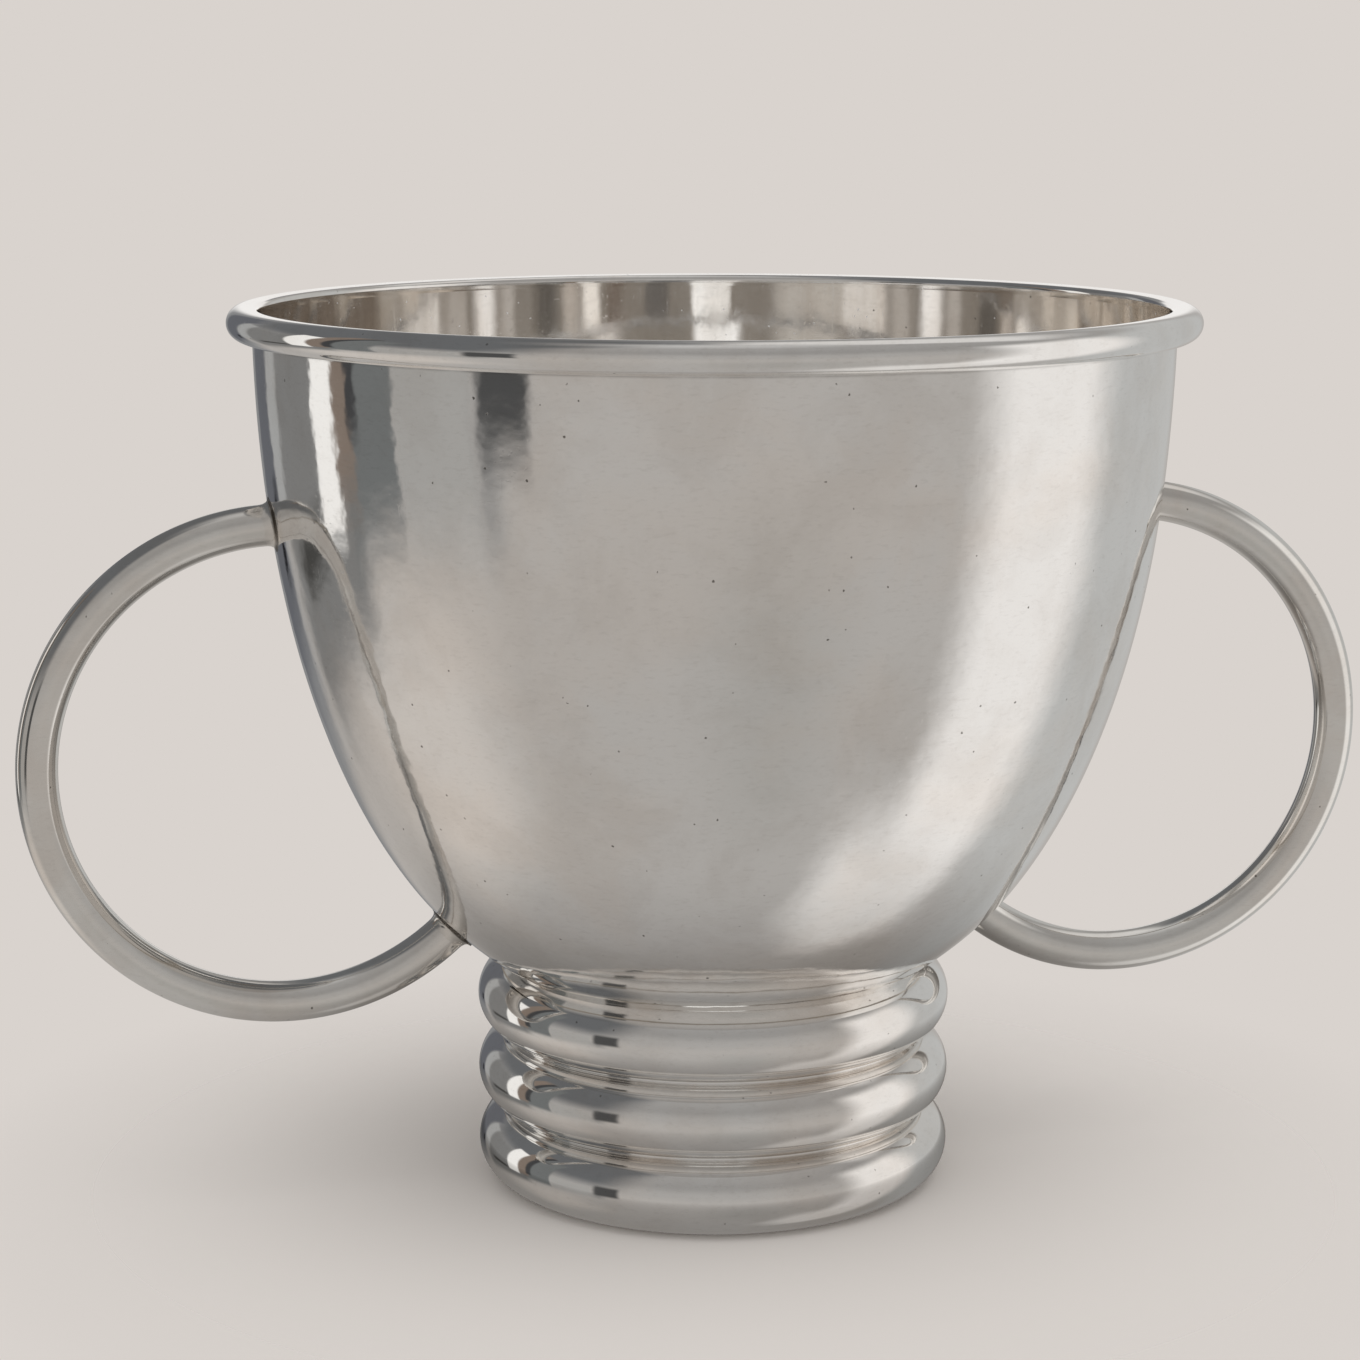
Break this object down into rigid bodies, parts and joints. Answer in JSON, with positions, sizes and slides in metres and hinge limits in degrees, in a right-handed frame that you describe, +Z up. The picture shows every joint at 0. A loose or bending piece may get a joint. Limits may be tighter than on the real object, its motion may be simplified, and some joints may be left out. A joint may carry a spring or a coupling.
{
  "type": "two-handled champagne bucket",
  "caption": "Round-bottomed silver-plated bucket with a rolled rim, hoop handles of round tube and a ribbed ring foot.",
  "frame": {"origin": "middle of the foot, on the surface that the bucket stands on", "axes": "+Z up through the mouth, +X through the right-hand handle, +Y towards the back"},
  "size_m": [0.326, 0.225, 0.2093],
  "materials": {
    "silver_plate": "polished",
    "solder": "polished",
    "bare_brass": "satin"
  },
  "bodies": {
    "root": {"bowl_shell": "silver_plate", "rim_bead": "silver_plate", "foot_ring_lower": "silver_plate", "foot_ring_middle": "silver_plate", "foot_ring_upper": "silver_plate", "foot_sleeve": "bare_brass", "foot_plate": "silver_plate", "handle_left": "silver_plate", "handle_right": "silver_plate", "solder_collar_left_upper": "solder", "solder_collar_left_lower": "solder", "solder_collar_right_upper": "solder", "solder_collar_right_lower": "solder"}
  },
  "joints": []
}
